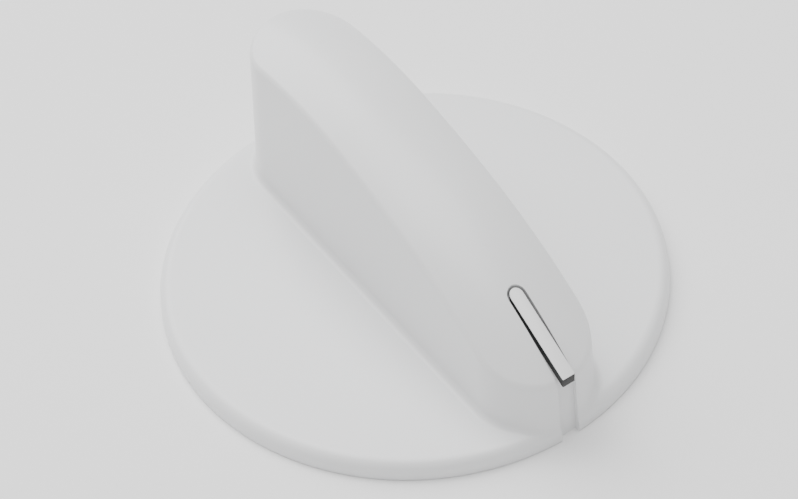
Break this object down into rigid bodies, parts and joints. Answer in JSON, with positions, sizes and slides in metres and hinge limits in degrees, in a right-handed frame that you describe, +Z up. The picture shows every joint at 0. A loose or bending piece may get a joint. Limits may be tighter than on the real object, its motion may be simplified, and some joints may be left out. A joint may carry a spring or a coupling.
{
  "type": "appliance timer knob",
  "caption": "Push-on timer knob: a round skirt with a straight, domed pointer grip, a white-topped pointer strip set in its nose, and a sprung D bore for the shaft.",
  "frame": {"origin": "centre of the skirt's underside, where the shaft axis meets the foot ring's plane", "axes": "+Z up along the shaft axis, away from the appliance's panel; -Y towards the pointer's nose; +X to the right of the pointer seen from above with the nose down"},
  "size_m": [0.05, 0.05, 0.0199],
  "materials": {
    "white_plastic": "gloss with fine wear",
    "black_plastic": "satin",
    "white_mark": "satin white top of the pointer strip",
    "spring_steel": "satin"
  },
  "bodies": {
    "root": {"knob_body": "white_plastic", "pointer_insert": "black_plastic", "shaft_spring": "spring_steel"}
  },
  "joints": []
}
